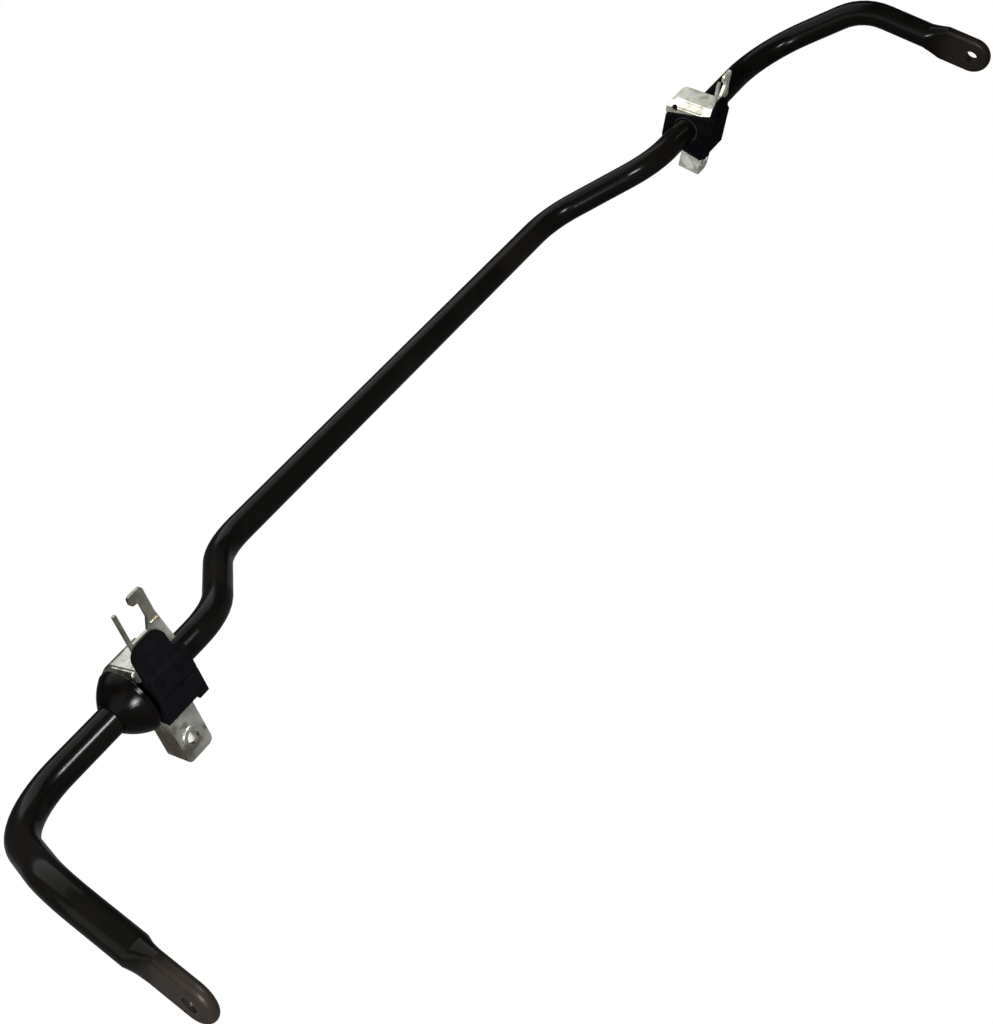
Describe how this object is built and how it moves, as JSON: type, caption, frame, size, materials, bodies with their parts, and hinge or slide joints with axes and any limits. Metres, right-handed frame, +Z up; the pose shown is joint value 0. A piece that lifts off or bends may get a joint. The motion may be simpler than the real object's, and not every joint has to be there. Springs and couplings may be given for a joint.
{
  "type": "sway bar",
  "caption": "Anti-roll bar bent from round spring steel, with flattened link eyes and loose rubber clamp mounts held by stop collars.",
  "frame": {"origin": "middle of the bar's middle run, on its axis", "axes": "+X along the middle run towards the right end; the arms reach towards -Y and their ends drop towards -Z; +Z up"},
  "size_m": [1.098, 0.29, 0.1557],
  "materials": {
    "bar": "gloss black baked coat",
    "rubber": "matte moulded black rubber",
    "collar": "satin moulded black",
    "liner": "smooth dark grey slip sleeve",
    "bracket": "zinc-plated pressed steel, satin"
  },
  "bodies": {
    "bar": {"sway_bar": "bar", "left_stop_collar": "collar", "right_stop_collar": "collar"},
    "left_mount": {"left_bush": "rubber", "left_bush_liner": "liner", "left_bracket": "bracket"},
    "right_mount": {"right_bush": "rubber", "right_bush_liner": "liner", "right_bracket": "bracket"}
  },
  "joints": [
    {"name": "left_mount_turn", "type": "hinge", "parent": "bar", "child": "left_mount", "pos_m": [-0.3705, -0.079, 0], "axis": [1, 0, 0], "range_deg": [-30, 30]},
    {"name": "right_mount_turn", "type": "hinge", "parent": "bar", "child": "right_mount", "pos_m": [0.378, -0.079, 0], "axis": [1, 0, 0], "range_deg": [-30, 30]}
  ]
}
